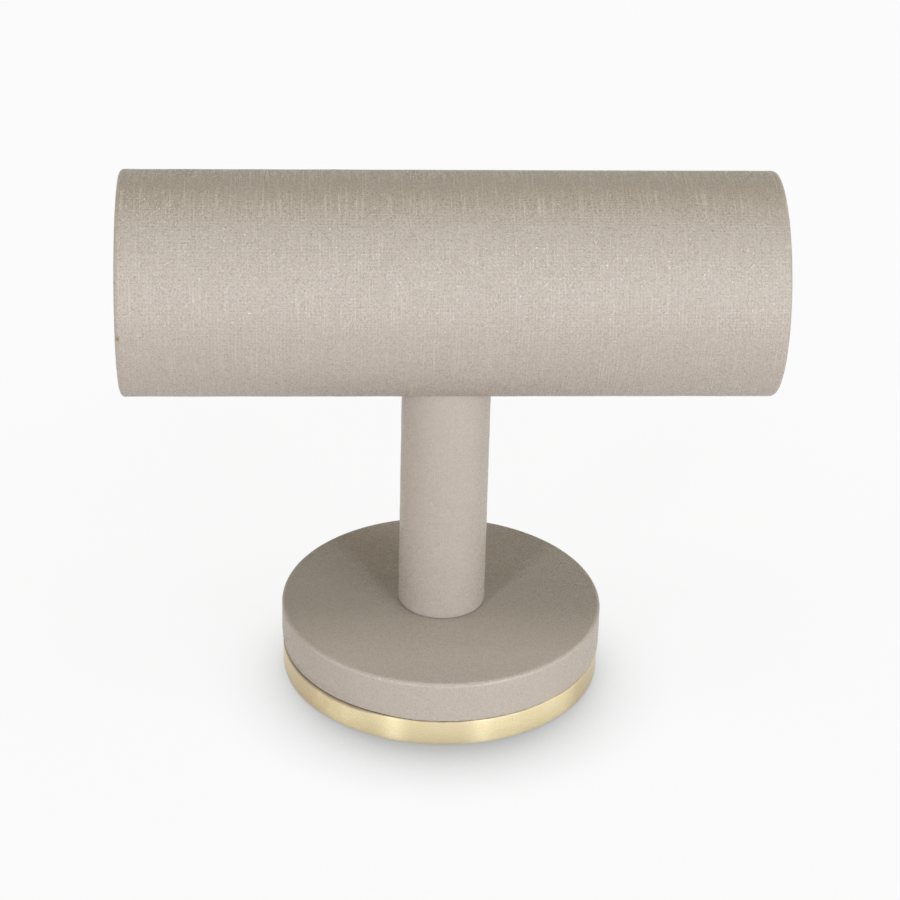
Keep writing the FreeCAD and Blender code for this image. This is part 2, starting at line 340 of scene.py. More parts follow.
    # each flake leans its own way: normal + lean * calm * (random - 0.5), made one long.
    # Where less relief is left, they lean less too
    calm = 1 - linen["calming"] * (1 - relief)
    bare = addNode(tree, "ShaderNodeMath", {
        0: chance, 1: linen["bareShare"]}, operation="LESS_THAN").outputs[0]
    lean = addNode(tree, "ShaderNodeMix", {
        "Factor": bare, 2: linen["sunkTilt"], 3: linen["bareTilt"]}, data_type="FLOAT").outputs[0]
    centred = addNode(tree, "ShaderNodeVectorMath", {
        0: flakes["Color"], 1: (0.5, 0.5, 0.5)}, operation="SUBTRACT").outputs[0]
    calmed = addNode(tree, "ShaderNodeVectorMath", {
        0: centred, 1: (calm, calm, calm)}, operation="MULTIPLY").outputs[0]
    normal = addNode(tree, "ShaderNodeNewGeometry").outputs["Normal"]
    tilted = addNode(tree, "ShaderNodeVectorMath", {
        0: calmed, 1: lean, 2: normal}, operation="MULTIPLY_ADD")
    flakeNormal = addNode(tree, "ShaderNodeVectorMath", {
        0: tilted.outputs[0]}, operation="NORMALIZE").outputs[0]
    bump = addNode(tree, "ShaderNodeBump", {
        "Height": height, "Distance": mm, "Strength": relief, "Normal": flakeNormal})
    (low, high), (sunkLow, sunkHigh) = linen["grainSpread"], linen["sunkRoughness"]
    sunk = addNode(tree, "ShaderNodeMapRange", {
        "Value": grain, "From Min": low, "From Max": high,
        "To Min": sunkLow, "To Max": sunkHigh}).outputs["Result"]
    polish = addNode(tree, "ShaderNodeMix", {
        "Factor": bare, 2: sunk, 3: linen["bareRoughness"]}, data_type="FLOAT").outputs[0]
    shader = addNode(tree, "ShaderNodeBsdfPrincipled", {
        "Base Color": colour, "Roughness": polish, "IOR": linen["ior"],
        "Normal": bump.outputs["Normal"]})
    addNode(tree, "ShaderNodeOutputMaterial", {"Surface": shader.outputs[0]})
    return material


gold = {
    "pale": "#FEF0C6", "deep": "#F6E2B1",
    "patchSize": 9.0,         # all sizes are millimetres
    "lineWidth": 0.12,        # real lines are near 0.05, drawn as coarse as they need to show
    "lineLength": 30.0,
    "lineHeight": 0.001,
    "roughness": (0.25, 0.30),
    "brushing": 0.93,         # anisotropy: how far the lines draw out what is mirrored
    "paintedSideShade": "#DAC69E",        # painted darker reflection at the plate's two sides, where the metal mirrors a darker room
    "paintedSideShadeMiddle": 4.0,        # along the edge from the front, to the right
    "paintedSideShadeFrom": (28.0, 46.0),       # painted darker from there on, to either side
    "paintedSideShadeTo": (62.0, 86.0),         # and up to there
    "paintedSideShadeRagged": 24.0,
    "paintedJointShade": "#776C5B",        # painted shade in the joint under the covering's edge, drawn as a dull non-metal
    "paintedJointShadeRoughness": 0.7,
    "paintedJointShadeFull": 0.2,          # down the edge, all painted shade
    "paintedJointShadeReach": (0.4, 1.5),  # and no more of it there, in a tight joint and an open one
    "paintedJointShadeRagged": 0.8,
    "paintedJointShadeMiddle": -45.0,      # where the joint is open, along the edge from the front
    "paintedJointShadeOpen": (17.0, 30.0),       # to either side of that: open, and tight again
}


def satinGold(name, wallTop):
    # steel plate with a pale gold plating, satin-brushed round its edge: the fine lines run
    # round the plate, so each lamp is drawn out into a soft upright streak. The map's first
    # axis runs round the plate, and its second over the top and from wallTop down the edge
    material, tree = newMaterial(name)
    cloth = addNode(tree, "ShaderNodeUVMap", uv_map="cloth").outputs["UV"]
    brushed = addNode(tree, "ShaderNodeVectorMath", {
        0: cloth, 1: (1 / gold["lineLength"], 1 / gold["lineWidth"], 0)},
        operation="MULTIPLY").outputs[0]
    lines = addNode(tree, "ShaderNodeTexNoise", {
        "Vector": brushed, "Scale": 1.0, "Detail": 2.0}).outputs["Fac"]
    patches = addNode(tree, "ShaderNodeTexNoise", {
        "Vector": cloth, "Scale": 1 / gold["patchSize"], "Detail": 2.0}).outputs["Fac"]
    colour = addNode(tree, "ShaderNodeMix", {
        "Factor": patches, 6: toLinear(gold["deep"]), 7: toLinear(gold["pale"])},
        data_type="RGBA").outputs[2]
    place = addNode(tree, "ShaderNodeSeparateXYZ", {0: cloth}).outputs
    # painted darker reflection: away from the front, the plate's two sides are mixed towards a
    # duller gold
    shifted = addNode(tree, "ShaderNodeMath", {
        0: place["X"], 1: gold["paintedSideShadeMiddle"]}, operation="SUBTRACT").outputs[0]
    aside = addNode(tree, "ShaderNodeMath", {0: shifted}, operation="ABSOLUTE").outputs[0]
    uneven = addNode(tree, "ShaderNodeMath", {
        0: patches, 1: -gold["paintedSideShadeRagged"], 2: aside}, operation="MULTIPLY_ADD").outputs[0]
    low, high = np.array(gold["paintedSideShadeFrom"]) - gold["paintedSideShadeRagged"] / 2     # patches are 0.5 or so
    paintedSideShade = addNode(tree, "ShaderNodeMapRange", {
        "Value": uneven, "From Min": float(low), "From Max": float(high)},
        interpolation_type="SMOOTHSTEP").outputs["Result"]
    low, high = gold["paintedSideShadeTo"]
    paintedSideShadeLess = addNode(tree, "ShaderNodeMapRange", {
        "Value": aside, "From Min": low, "From Max": high,
        "To Min": 1.0, "To Max": 0.0}, interpolation_type="SMOOTHSTEP").outputs["Result"]
    paintedSideShadeHere = addNode(tree, "ShaderNodeMath", {
        0: paintedSideShade, 1: paintedSideShadeLess}, operation="MULTIPLY").outputs[0]
    colour = addNode(tree, "ShaderNodeMix", {
        "Factor": paintedSideShadeHere, 6: colour, 7: toLinear(gold["paintedSideShade"])}, data_type="RGBA").outputs[2]
    # painted shade: below the covering's edge, the plate's edge is mixed to a dark, dull non-metal
    # that reaches further down where the joint is open
    down = addNode(tree, "ShaderNodeMath", {
        0: patches, 1: gold["paintedJointShadeRagged"], 2: place["Y"]}, operation="MULTIPLY_ADD").outputs[0]
    fromOpen = addNode(tree, "ShaderNodeMath", {
        0: place["X"], 1: gold["paintedJointShadeMiddle"]}, operation="SUBTRACT").outputs[0]
    fromOpen = addNode(tree, "ShaderNodeMath", {0: fromOpen}, operation="ABSOLUTE").outputs[0]
    low, high = gold["paintedJointShadeOpen"]
    tight, loose = wallTop + gold["paintedJointShadeRagged"] / 2 + np.array(gold["paintedJointShadeReach"])
    reach = addNode(tree, "ShaderNodeMapRange", {
        "Value": fromOpen, "From Min": low, "From Max": high,
        "To Min": float(loose), "To Max": float(tight)},
        interpolation_type="SMOOTHSTEP").outputs["Result"]
    clearOfPaintedShade = addNode(tree, "ShaderNodeMapRange", {
        "Value": down, "From Min": wallTop + gold["paintedJointShadeFull"], "From Max": reach},
        interpolation_type="SMOOTHSTEP").outputs["Result"]
    colour = addNode(tree, "ShaderNodeMix", {
        "Factor": clearOfPaintedShade, 6: toLinear(gold["paintedJointShade"]), 7: colour}, data_type="RGBA").outputs[2]
    low, high = gold["roughness"]
    matt = addNode(tree, "ShaderNodeMapRange", {
        "Value": lines, "To Min": low, "To Max": high}).outputs["Result"]
    matt = addNode(tree, "ShaderNodeMix", {
        "Factor": clearOfPaintedShade, 2: gold["paintedJointShadeRoughness"], 3: matt}, data_type="FLOAT").outputs[0]
    bump = addNode(tree, "ShaderNodeBump", {
        "Height": lines, "Distance": gold["lineHeight"] * mm})
    tangent = addNode(tree, "ShaderNodeTangent", direction_type="UV_MAP", uv_map="cloth")
    shader = addNode(tree, "ShaderNodeBsdfPrincipled", {
        "Base Color": colour, "Metallic": clearOfPaintedShade, "Roughness": matt,
        "Anisotropic": gold["brushing"], "Anisotropic Rotation": 0.25,   # a quarter turn
        "Normal": bump.outputs["Normal"], "Tangent": tangent.outputs[0]})
    addNode(tree, "ShaderNodeOutputMaterial", {"Surface": shader.outputs[0]})
    return material


felt = {"dark": "#2B2927", "pale": "#4A4642", "fibre": 0.4, "nap": 0.2, "roughness": 0.95,
        "sheen": 0.3}       # fibre and nap are millimetres


def woolFelt(name):
    # pressed felt: short fibres that lie every way, so it looks soft and has no shine
    material, tree = newMaterial(name)
    place = addNode(tree, "ShaderNodeTexCoord").outputs["Object"]
    fibres = addNode(tree, "ShaderNodeTexNoise", {
        "Vector": place, "Scale": 1 / (felt["fibre"] * mm), "Detail": 4.0,
        "Distortion": 1.5}).outputs["Fac"]
    colour = addNode(tree, "ShaderNodeMix", {
        "Factor": fibres, 6: toLinear(felt["dark"]), 7: toLinear(felt["pale"])},
        data_type="RGBA").outputs[2]
    bump = addNode(tree, "ShaderNodeBump", {"Height": fibres, "Distance": felt["nap"] * mm})
    shader = addNode(tree, "ShaderNodeBsdfPrincipled", {
        "Base Color": colour, "Roughness": felt["roughness"], "Sheen Weight": felt["sheen"],
        "Normal": bump.outputs["Normal"]})
    addNode(tree, "ShaderNodeOutputMaterial", {"Surface": shader.outputs[0]})
    return material


wood = {"dark": "#B98F5F", "pale": "#DDBB8E", "grainWidth": 2.5, "grainLength": 60.0,
        "grainHeight": 0.05, "roughness": 0.6}      # sizes are millimetres


def beech(name):
    # turned beech: straight grain up the post with short dark flecks
    material, tree = newMaterial(name)
    place = addNode(tree, "ShaderNodeTexCoord").outputs["Object"]
    across, along = 1 / (wood["grainWidth"] * mm), 1 / (wood["grainLength"] * mm)
    grown = addNode(tree, "ShaderNodeMapping", {
        "Vector": place, "Scale": (across, across, along)})
    grain = addNode(tree, "ShaderNodeTexNoise", {
        "Vector": grown.outputs[0], "Scale": 1.0, "Detail": 5.0, "Distortion": 0.4}).outputs["Fac"]
    colour = addNode(tree, "ShaderNodeMix", {
        "Factor": grain, 6: toLinear(wood["dark"]), 7: toLinear(wood["pale"])},
        data_type="RGBA").outputs[2]
    bump = addNode(tree, "ShaderNodeBump", {
        "Height": grain, "Distance": wood["grainHeight"] * mm})
    shader = addNode(tree, "ShaderNodeBsdfPrincipled", {
        "Base Color": colour, "Roughness": wood["roughness"], "Normal": bump.outputs["Normal"]})
    addNode(tree, "ShaderNodeOutputMaterial", {"Surface": shader.outputs[0]})
    return material


board = {
    "kinds": {              # dark, pale, and the size of the specks in millimetres
        "greyPaperBoard": ("#8E7B62", "#B39E80", 0.9),
        "mediumDensityFibreboard": ("#A5805A", "#C4A07A", 0.6)},
    "roughness": 0.85, "speckHeight": 0.08,
}


def pressedBoard(name):
    # board of pressed fibres: specks of pulp in two near browns, with a dry surface
    dark, pale, chip = board["kinds"][name]
    material, tree = newMaterial(name)
    place = addNode(tree, "ShaderNodeTexCoord").outputs["Object"]
    pulp = addNode(tree, "ShaderNodeTexNoise", {
        "Vector": place, "Scale": 1 / (chip * mm), "Detail": 5.0}).outputs["Fac"]
    colour = addNode(tree, "ShaderNodeMix", {
        "Factor": pulp, 6: toLinear(dark), 7: toLinear(pale)}, data_type="RGBA").outputs[2]
    bump = addNode(tree, "ShaderNodeBump", {
        "Height": pulp, "Distance": board["speckHeight"] * mm})
    shader = addNode(tree, "ShaderNodeBsdfPrincipled", {
        "Base Color": colour, "Roughness": board["roughness"],
        "Normal": bump.outputs["Normal"]})
    addNode(tree, "ShaderNodeOutputMaterial", {"Surface": shader.outputs[0]})
    return material


zinc = {"dark": "#A9ACB1", "pale": "#CDCFD2", "crystal": 1.2, "roughness": (0.28, 0.42)}


def zincPlatedSteel(name):
    # zinc-plated steel: small cloudy crystals in a bluish grey, half bright
    material, tree = newMaterial(name)
    place = addNode(tree, "ShaderNodeTexCoord").outputs["Object"]
    crystals = addNode(tree, "ShaderNodeTexNoise", {
        "Vector": place, "Scale": 1 / (zinc["crystal"] * mm), "Detail": 3.0}).outputs["Fac"]
    colour = addNode(tree, "ShaderNodeMix", {
        "Factor": crystals, 6: toLinear(zinc["dark"]), 7: toLinear(zinc["pale"])},
        data_type="RGBA").outputs[2]
    low, high = zinc["roughness"]
    matt = addNode(tree, "ShaderNodeMapRange", {
        "Value": crystals, "To Min": low, "To Max": high}).outputs["Result"]
    shader = addNode(tree, "ShaderNodeBsdfPrincipled", {
        "Base Color": colour, "Metallic": 1.0, "Roughness": matt})
    addNode(tree, "ShaderNodeOutputMaterial", {"Surface": shader.outputs[0]})
    return material


barLow, barHigh = cadSpan("bar_cover")
barRadius = (barHigh[2] - barLow[2]) / 2
barHalf = (barHigh[0] - barLow[0]) / 2
barAxis = (barHigh[2] + barLow[2]) / 2
barFrame = {"axis": right, "out": front, "side": up, "origin": (0, 0, barAxis)}
bar = {
    "thickness": 0.8,
    "rimRound": 1.3,
    "mouthRadius": 23.8,
    "mouthRound": 0.45,
    "sharp": 0.01,          # rounding of the back's corners in the mouths
    "turnIn": 8.0,
    "seamGap": 0.25,
    "ripple": 0.05,         # how much the glued covering strays from a true cylinder
    "rippleSize": 24.0,
    "rippleSeed": 3,
    "trueEnd": 6.0,         # it grows from none over this much of each end
    "outerBand": 0.1,       # and only on rows this near the full radius
    "columns": 280,
    "specks": [             # along the bar, degrees up from the front, size and strength
        (59.2, 40.9, (0.35, 0.30), 0.5),
        (45.3, -13.4, (0.30, 0.35), 0.45)],
    "nick": (-81.8, -2.8, (0.8, 1.1), 0.85),
    "paintedTopShading": (96, 26, 44),  # painted shade along the bar's top: degrees up from the front, and to its full and its faint edge
}


def clothOnBar(along, degrees):
    # place on the bar's cloth map of a point given along the bar and round it
    return (along, math.radians(degrees) * barRadius)


def makeBarCover():
    half, thick = barHalf, bar["thickness"]
    mouth, turned = bar["mouthRadius"], barHalf - bar["turnIn"]
    steps = (8, 5, 100, 5, 8)
    face = roundedPath([
        (-turned, mouth, 0), (-half, mouth, bar["mouthRound"]),
        (-half, barRadius, bar["rimRound"]), (half, barRadius, bar["rimRound"]),
        (half, mouth, bar["mouthRound"]), (turned, mouth, 0)], steps)
    back = roundedPath([
        (-turned, mouth + thick, 0), (-half + thick, mouth + thick, bar["sharp"]),
        (-half + thick, barRadius - thick, bar["rimRound"] - thick),
        (half - thick, barRadius - thick, bar["rimRound"] - thick),
        (half - thick, mouth + thick, bar["sharp"]), (turned, mouth + thick, 0)], steps)
    slit = bar["seamGap"] / 2 / barRadius
    angles = np.linspace(-math.pi / 2 + slit, 1.5 * math.pi - slit, bar["columns"] + 1)
    walked = arcLength(face)
    u = np.repeat((walked - walked[-1] / 2)[:, None], len(angles), 1)
    v = np.repeat((angles * barRadius)[None], len(walked), 0)
    # the covering may only sink under the bar's true radius, and is true at both rims
    sink = bar["ripple"] * (ripple(u, v, bar["rippleSize"], bar["rippleSeed"]) - 1) / 2
    outside = face[:, 1:] > barRadius - bar["outerBand"]
    sink = sink * smooth(0, bar["trueEnd"], half - np.abs(face[:, :1])) * outside
    grids = []
    for path in (face, back):
        along = np.repeat(path[:, :1], len(angles), 1)
        grids.append(spin(along, path[:, 1:] + sink, angles, **barFrame))
    cloth = np.stack([u, v], -1)
    marks = []
    for along, degrees, size, strength in bar["specks"]:
        marks.append({"at": clothOnBar(along, degrees), "size": size,
                      "strength": strength, "colour": linen["speckDark"]})
    along, degrees, size, strength = bar["nick"]
    marks.append({"at": clothOnBar(along, degrees), "size": size,
                  "strength": strength, "colour": linen["nickBrown"]})
    # the strip of painted shade along the bar's top, in millimetres round the bar
    paintedTopShading = [barRadius * math.radians(angle) for angle in bar["paintedTopShading"]]
    material = pearlLinenLeatherette("pearlLinenLeatherette_bar", marks, paintedTopShading=paintedTopShading)
    piece = addPiece("barCovering", loopOf(*grids), loopOf(cloth, cloth), material,
                     "bar_cover", seam=True)


print("bar")
makeBarCover()
plainLinen = pearlLinenLeatherette("pearlLinenLeatherette", relief=linen["softRelief"])

endCap = {"thickness": 0.8, "rimRound": 0.95, "ringWidth": 6.0, "columns": 160}


def makeEndCover(side, node, name):
    # the cap's cloth is a flat disc: its map is (walked * cos a, walked * sin a)
    low, high = cadSpan(node)
    radius = (high[2] - low[2]) / 2
    inner, outer = sorted((abs(low[0]), abs(high[0])))
    thick = endCap["thickness"]
    steps = (26, 4, 6)
    face = roundedPath([
        (outer, 0, 0), (outer, radius, endCap["rimRound"]),
        (inner, radius, endCap["rimRound"]), (inner, radius - endCap["ringWidth"], 0)], steps)
    back = roundedPath([
        (outer - thick, 0, 0), (outer - thick, radius - thick, endCap["rimRound"] - thick),
        (inner + thick, radius - thick, endCap["rimRound"] - thick),
        (inner + thick, radius - endCap["ringWidth"], 0)], steps)
    angles = np.linspace(0, 2 * math.pi, endCap["columns"] + 1)
    walked = arcLength(face)
    cloth = walked[:, None, None] * np.stack([np.cos(angles), np.sin(angles)], -1)[None]
    grids = []
    for path in (face, back):
        along = side * np.repeat(path[:, :1], len(angles), 1)
        grids.append(spin(along, np.repeat(path[:, 1:], len(angles), 1), angles, **barFrame))
    piece = addPiece(name, loopOf(*grids), loopOf(cloth, cloth), plainLinen,
                     node)


print("end caps")
makeEndCover(-1, "left_end_cover", "leftEndCovering")
makeEndCover(1, "right_end_cover", "rightEndCovering")

postLow, postHigh = cadSpan("post_cover")
postRadius = (postHigh[0] - postLow[0]) / 2
footHeight = postLow[2]
standing = {"axis": up, "out": front, "side": right}
post = {
    "thickness": 0.8,
    "footRound": 0.95,
    "footHole": 6.5,
    "seamGap": 0.25,
    "barGap": 0.05,
    "ripple": 0.04,
    "rippleSize": 14.0,
    "rippleSeed": 8,
    "rippleFrom": (1.0, 5.0),       # above the foot: none, and all of it
    "copeReach": 6.0,       # above the foot the rows turn from level to the bar's curve
    "columns": 160,
}


def copedTo(height, radius, angles, top):
    # stretches the heights so that the top row lies on the bar: the bar's underside over a
    # point (x, y) is barAxis - sqrt(reach^2 - y^2)
    y = radius * -np.cos(angles)
    reach = barRadius + post["barGap"]
    edge = barAxis - np.sqrt(reach * reach - y * y)
    return footHeight + (height - footHeight) * (edge - footHeight) / (top - footHeight)


def makePostCover():
    thick, hole = post["thickness"], post["footHole"]
    top = postHigh[2]
    steps = (60, 6)
    face = roundedPath([
        (top, postRadius, 0), (footHeight, postRadius, post["footRound"]),
        (footHeight, hole, 0)], steps)
    back = roundedPath([
        (top, postRadius - thick, 0),
        (footHeight + thick, postRadius - thick, post["footRound"] - thick),
        (footHeight + thick, hole, 0)], steps)
    slit = post["seamGap"] / 2 / postRadius
    angles = np.linspace(-math.pi + slit, math.pi - slit, post["columns"] + 1)
    walked = arcLength(face)
    u = np.repeat((angles * postRadius)[None], len(walked), 0)
    v = np.repeat((walked[-1] - walked)[:, None], len(angles), 1)
    sink = post["ripple"] * (ripple(u, v, post["rippleSize"], post["rippleSeed"]) - 1) / 2
    sink = sink * smooth(*post["rippleFrom"], face[:, :1] - footHeight)
    grids = []
    for path in (face, back):
        radius = path[:, 1:] + sink
        wall = smooth(0, post["copeReach"], path[:, :1] - footHeight - thick)
        coped = copedTo(path[:, :1], radius, angles, top)
        height = path[:, :1] * (1 - wall) + coped * wall
        grids.append(spin(height, radius, angles, **standing))
    cloth = np.stack([u, v], -1)
    piece = addPiece("postCovering", loopOf(*grids), loopOf(cloth, cloth), plainLinen,
                     "post_cover", seam=True)


print("post")
makePostCover()

baseLow, baseHigh = cadSpan("base_cover")
baseRadius = (baseHigh[0] - baseLow[0]) / 2
base = {
    "thickness": 0.8,
    "rimRound": 1.1,
    "underRound": 0.5,
    "hole": 6.5,
    "ringWidth": 10.0,
    "weaveTurn": -53.0,      # degrees that the disc's weave is turned from the bar's
    "gapLift": 0.52,         # how far the covering stands off the plate at the front left
    "gapMiddle": -62.0,      # degrees from the front, to the left
    "gapSpread": 34.0,
    "gapSteepness": 4,       # how suddenly the gap begins and ends
    "hangFrom": 2.0,         # under the top and in from the edge, the sheet stays put
    "ringStays": 1.0,
    "tuck": 0.45,            # how far its lower edge curls in there
    "tuckHeight": 2.6,
    "looseness": 0.05,       # small waves of the lower edge all round
    "waveSize": 3.0,
    "waveSeed": 21,
    "columns": 300,
    "specks": [(-19.5, -7.5, (0.4, 0.35), 0.5)],    # x, y, size and strength
}


def onBaseCloth(x, y):
    # the disc's cloth map: its own x and y, turned by the weave's angle
    turn = math.radians(base["weaveTurn"])
    return np.stack([x * math.cos(turn) - y * math.sin(turn),
                     x * math.sin(turn) + y * math.cos(turn)], -1)


def makeBaseCover():
    top, bottom, thick = baseHigh[2], baseLow[2], base["thickness"]
    ring = baseRadius - base["ringWidth"]
    steps = (34, 14, 12)
    face = roundedPath([
        (top, base["hole"], 0), (top, baseRadius, base["rimRound"]),
        (bottom, baseRadius, base["underRound"]), (bottom, ring, 0)], steps, arcSteps=9)
    back = roundedPath([
        (top - thick, base["hole"], 0),
        (top - thick, baseRadius - thick, base["rimRound"] - thick),
        (bottom + thick, baseRadius - thick, base["underRound"] - thick),
        (bottom + thick, ring, 0)], steps, arcSteps=9)
    angles = np.linspace(-math.pi, math.pi, base["columns"] + 1)
    walked = arcLength(face) + base["hole"]
    x = walked[:, None] * np.sin(angles)
    y = walked[:, None] * -np.cos(angles)
    cloth = onBaseCloth(x, y)
    # the lower edge lifts by the bell exp(-off^4) about the gap's middle and frays into small
    # waves: its face moves and its back stays, because the cloth is pressed thin there
    off = (np.degrees(angles) - base["gapMiddle"]) / base["gapSpread"]
    bell = np.exp(-np.abs(off) ** base["gapSteepness"])
    waves = ripple(angles * baseRadius, 0, base["waveSize"], base["waveSeed"])
    lift = base["gapLift"] * bell + base["looseness"] * (1 + waves)
    stays = base["ringStays"]
    grids = []
    for path, moved in ((face, 1.0), (back, 0.0)):
        height, radius = path[:, :1], path[:, 1:]
        hang = smooth(top - base["hangFrom"], bottom, height)
        hang = hang * smooth(ring + stays, baseRadius - stays, radius)
        curl = smooth(bottom + base["tuckHeight"], bottom, height)
        radius = radius - moved * base["tuck"] * bell * curl * (radius > ring + stays)
        grids.append(spin(height + moved * lift * hang, radius, angles, **standing))
    marks = []
    for alongX, alongY, size, strength in base["specks"]:
        marks.append({"at": tuple(onBaseCloth(alongX, alongY)), "size": size,
                      "strength": strength, "colour": linen["speckDark"]})
    material = pearlLinenLeatherette("pearlLinenLeatherette_base", marks,
                                     relief=linen["softRelief"])
    piece = addPiece("baseCovering", loopOf(*grids), loopOf(cloth, cloth), material,
                     "base_cover")


print("base covering")
makeBaseCover()

plate = {
    "topRound": 0.15, "lowRound": 0.3, "sharp": 0.02,
    "holeRadius": 2.75,
    "padRadius": 39.2, "recessDepth": 0.5,      # the recess that holds the felt
    "boreRadius": 8.5, "boreTop": 5.4,          # the counterbore for the washer and nut
    "columns": 360,
}


def makeTrimPlate():
    # the closed section of the plate carried round the post's axis
    low, high = cadSpan("trim_plate")
    radius, top, bottom = (high[0] - low[0]) / 2, high[2], low[2]
    recess, sharp = bottom + plate["recessDepth"], plate["sharp"]
    section = roundedPath([
        (top, plate["holeRadius"], 0), (top, radius, plate["topRound"]),
        (bottom, radius, plate["lowRound"]), (bottom, plate["padRadius"], sharp),
        (recess, plate["padRadius"], sharp), (recess, plate["boreRadius"], sharp),
        (plate["boreTop"], plate["boreRadius"], sharp),
        (plate["boreTop"], plate["holeRadius"], sharp),
        (top, plate["holeRadius"], 0)], (10, 8, 2, 2, 10, 4, 3, 3), arcSteps=5)
    angles = np.linspace(-math.pi, math.pi, plate["columns"] + 1)
    walked = arcLength(section)
    u = np.repeat((angles * radius)[None], len(walked), 0)
    v = np.repeat(walked[:, None], len(angles), 1)
    along = np.repeat(section[:, :1], len(angles), 1)
    grid = spin(along, np.repeat(section[:, 1:], len(angles), 1), angles, **standing)
    # the edge begins where the section first comes within a micron of its full radius
    wallTop = float(walked[np.argmax(section[:, 1] > radius - 0.001)])
    addPiece("goldPlate", grid, np.stack([u, v], -1), satinGold("satinGold", wallTop),
             "trim_plate")


print("plate")
makeTrimPlate()

pad = {"edgeRound": 0.25, "fray": 0.12, "fraySize": 0.3, "fraySeed": 5, "columns": 200}


def makeBasePad():
    # section from pole to pole carried round the axis, its radius strayed by a ripple whose
    # size is given on a circle of radius 1
    low, high = cadSpan("base_pad")
    radius = (high[0] - low[0]) / 2
    section = roundedPath([
        (low[2], 0, 0), (low[2], radius, pad["edgeRound"]),
        (high[2], radius, pad["edgeRound"]), (high[2], 0, 0)], (14, 2, 14), arcSteps=4)
    angles = np.linspace(-math.pi, math.pi, pad["columns"] + 1)
    waves = ripple(np.cos(angles), np.sin(angles), pad["fraySize"], pad["fraySeed"])
    fray = pad["fray"] * (waves - 1) / 2
    reach = section[:, 1:] * (1 + fray / radius)
    along = np.repeat(section[:, :1], len(angles), 1)
    grid = spin(along, reach, angles, **standing)
    piece = addPiece("feltPad", grid, grid[..., :2], woolFelt("woolFelt"), "base_pad")


print("pad")
makeBasePad()

tubeBoard = pressedBoard("greyPaperBoard")
fibreBoard = pressedBoard("mediumDensityFibreboard")
hiddenFinishes = {
    "bar_tube": tubeBoard, "left_end_board": tubeBoard, "right_end_board": tubeBoard,
    "filler_card": tubeBoard, "base_board": fibreBoard,
    "saddle_block": beech("beech_saddle"), "post_core": beech("beech_post"),
    "tie_bolt": zincPlatedSteel("zincPlatedSteel_bolt"),
    "clamp_washer": zincPlatedSteel("zincPlatedSteel_washer"),
    "clamp_nut": zincPlatedSteel("zincPlatedSteel_nut"),
}
for node, material in hiddenFinishes.items():
    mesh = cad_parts[node].data
    mesh.materials.clear()
    mesh.materials.append(material)
print("hidden pieces finished", len(hiddenFinishes))

camera = {                  # millimetres and degrees
    "lens": 114.73, "sensor": 36.0, "azimuth": 3.376, "pitch": 29.004, "roll": 1.530,
    "target": (1.331, 0.0, 63.958), "distance": 746.38,
    "clip": (0.01, 50),     # metres
}


def makeCamera():
    # stands at target - forward * distance; azimuth is to the left of the front, in degrees
    turn, tilt, lean = (math.radians(camera[key]) for key in ("azimuth", "pitch", "roll"))
    forward = np.array([math.sin(turn) * math.cos(tilt), math.cos(turn) * math.cos(tilt),
                        -math.sin(tilt)])
    level = np.array([math.cos(turn), -math.sin(turn), 0])
    above = np.cross(level, forward)
    sideways = math.cos(lean) * level + math.sin(lean) * above
    upward = math.cos(lean) * above - math.sin(lean) * level
    place = (np.array(camera["target"]) - forward * camera["distance"]) * mm
    lens = bpy.data.cameras.new("camera")
    lens.lens = camera["lens"]
    lens.sensor_width = camera["sensor"]
    lens.clip_start, lens.clip_end = camera["clip"]
    viewer = bpy.data.objects.new("camera", lens)
    matrix = np.eye(4)
    matrix[:3, 0], matrix[:3, 1], matrix[:3, 2], matrix[:3, 3] = sideways, upward, -forward, place
    viewer.matrix_world = matrix.T.tolist()
    scene.collection.objects.link(viewer)
    scene.camera = viewer


makeCamera()

studio = {
    "lamps": {              # azimuth right of the front, elevation, width, height, W/m2, colour
        "leftKey": (-33, 20, 0.18, 0.50, 1.20, "#F0F3FF"),
        "rightKey": (27, 20, 0.18, 0.50, 1.17, "#EDF2FF"),
        "farKey": (45, 20, 0.50, 0.50, 0.90, "#F6FAFF"),
        "low": (0, 5, 1.00, 0.40, 0.32, "#CFD3F0"),
        "leftSide": (-78, 12, 1.00, 0.70, 0.66, "#FFFFFF"),
        "rightSide": (78, 12, 1.00, 0.70, 0.66, "#FFFFFF"),
        "top": (0, 82, 0.50, 0.35, 0.82, "#FFFFFF"),
        "back": (180, 7, 1.60, 0.32, 0.12, "#FFF3DC")},
    "distance": 1.4,
    "aim": (0, 0, 0.07),
    "ambient": "#FFEBAD",   # the dim room's own warm light
    "ambientStrength": 0.17,
    "horizon": (0.25, 0.60),        # rise of the view over which the paper ends in the room
    "floorColour": "#EBE3DF",       # of the light that the floor throws up
    "floorHalf": 8.0,       # metres from its middle to its sides
    "paper": 0.965,         # the floor's tone away from the object
    "litShare": 0.05,       # how much of what the camera sees of the floor is lamp light
    "litTone": 1.0,         # the tone that the lamps alone give a white floor
    "contactReach": 0.027,  # metres over which the floor darkens towards the plate
    "contactLean": 0.7,     # how far the shadow lies to the front
    "contactDepth": 1.18,   # how dark it is
    "contactFall": 1.9,     # how fast it fades
    "contactMost": 0.42,    # and the most that the fading share counts
    "contactSamples": 16,
    "paperFrom": 0.10,      # metres from the post where the floor starts to go even
    "paperTo": 0.25,
}


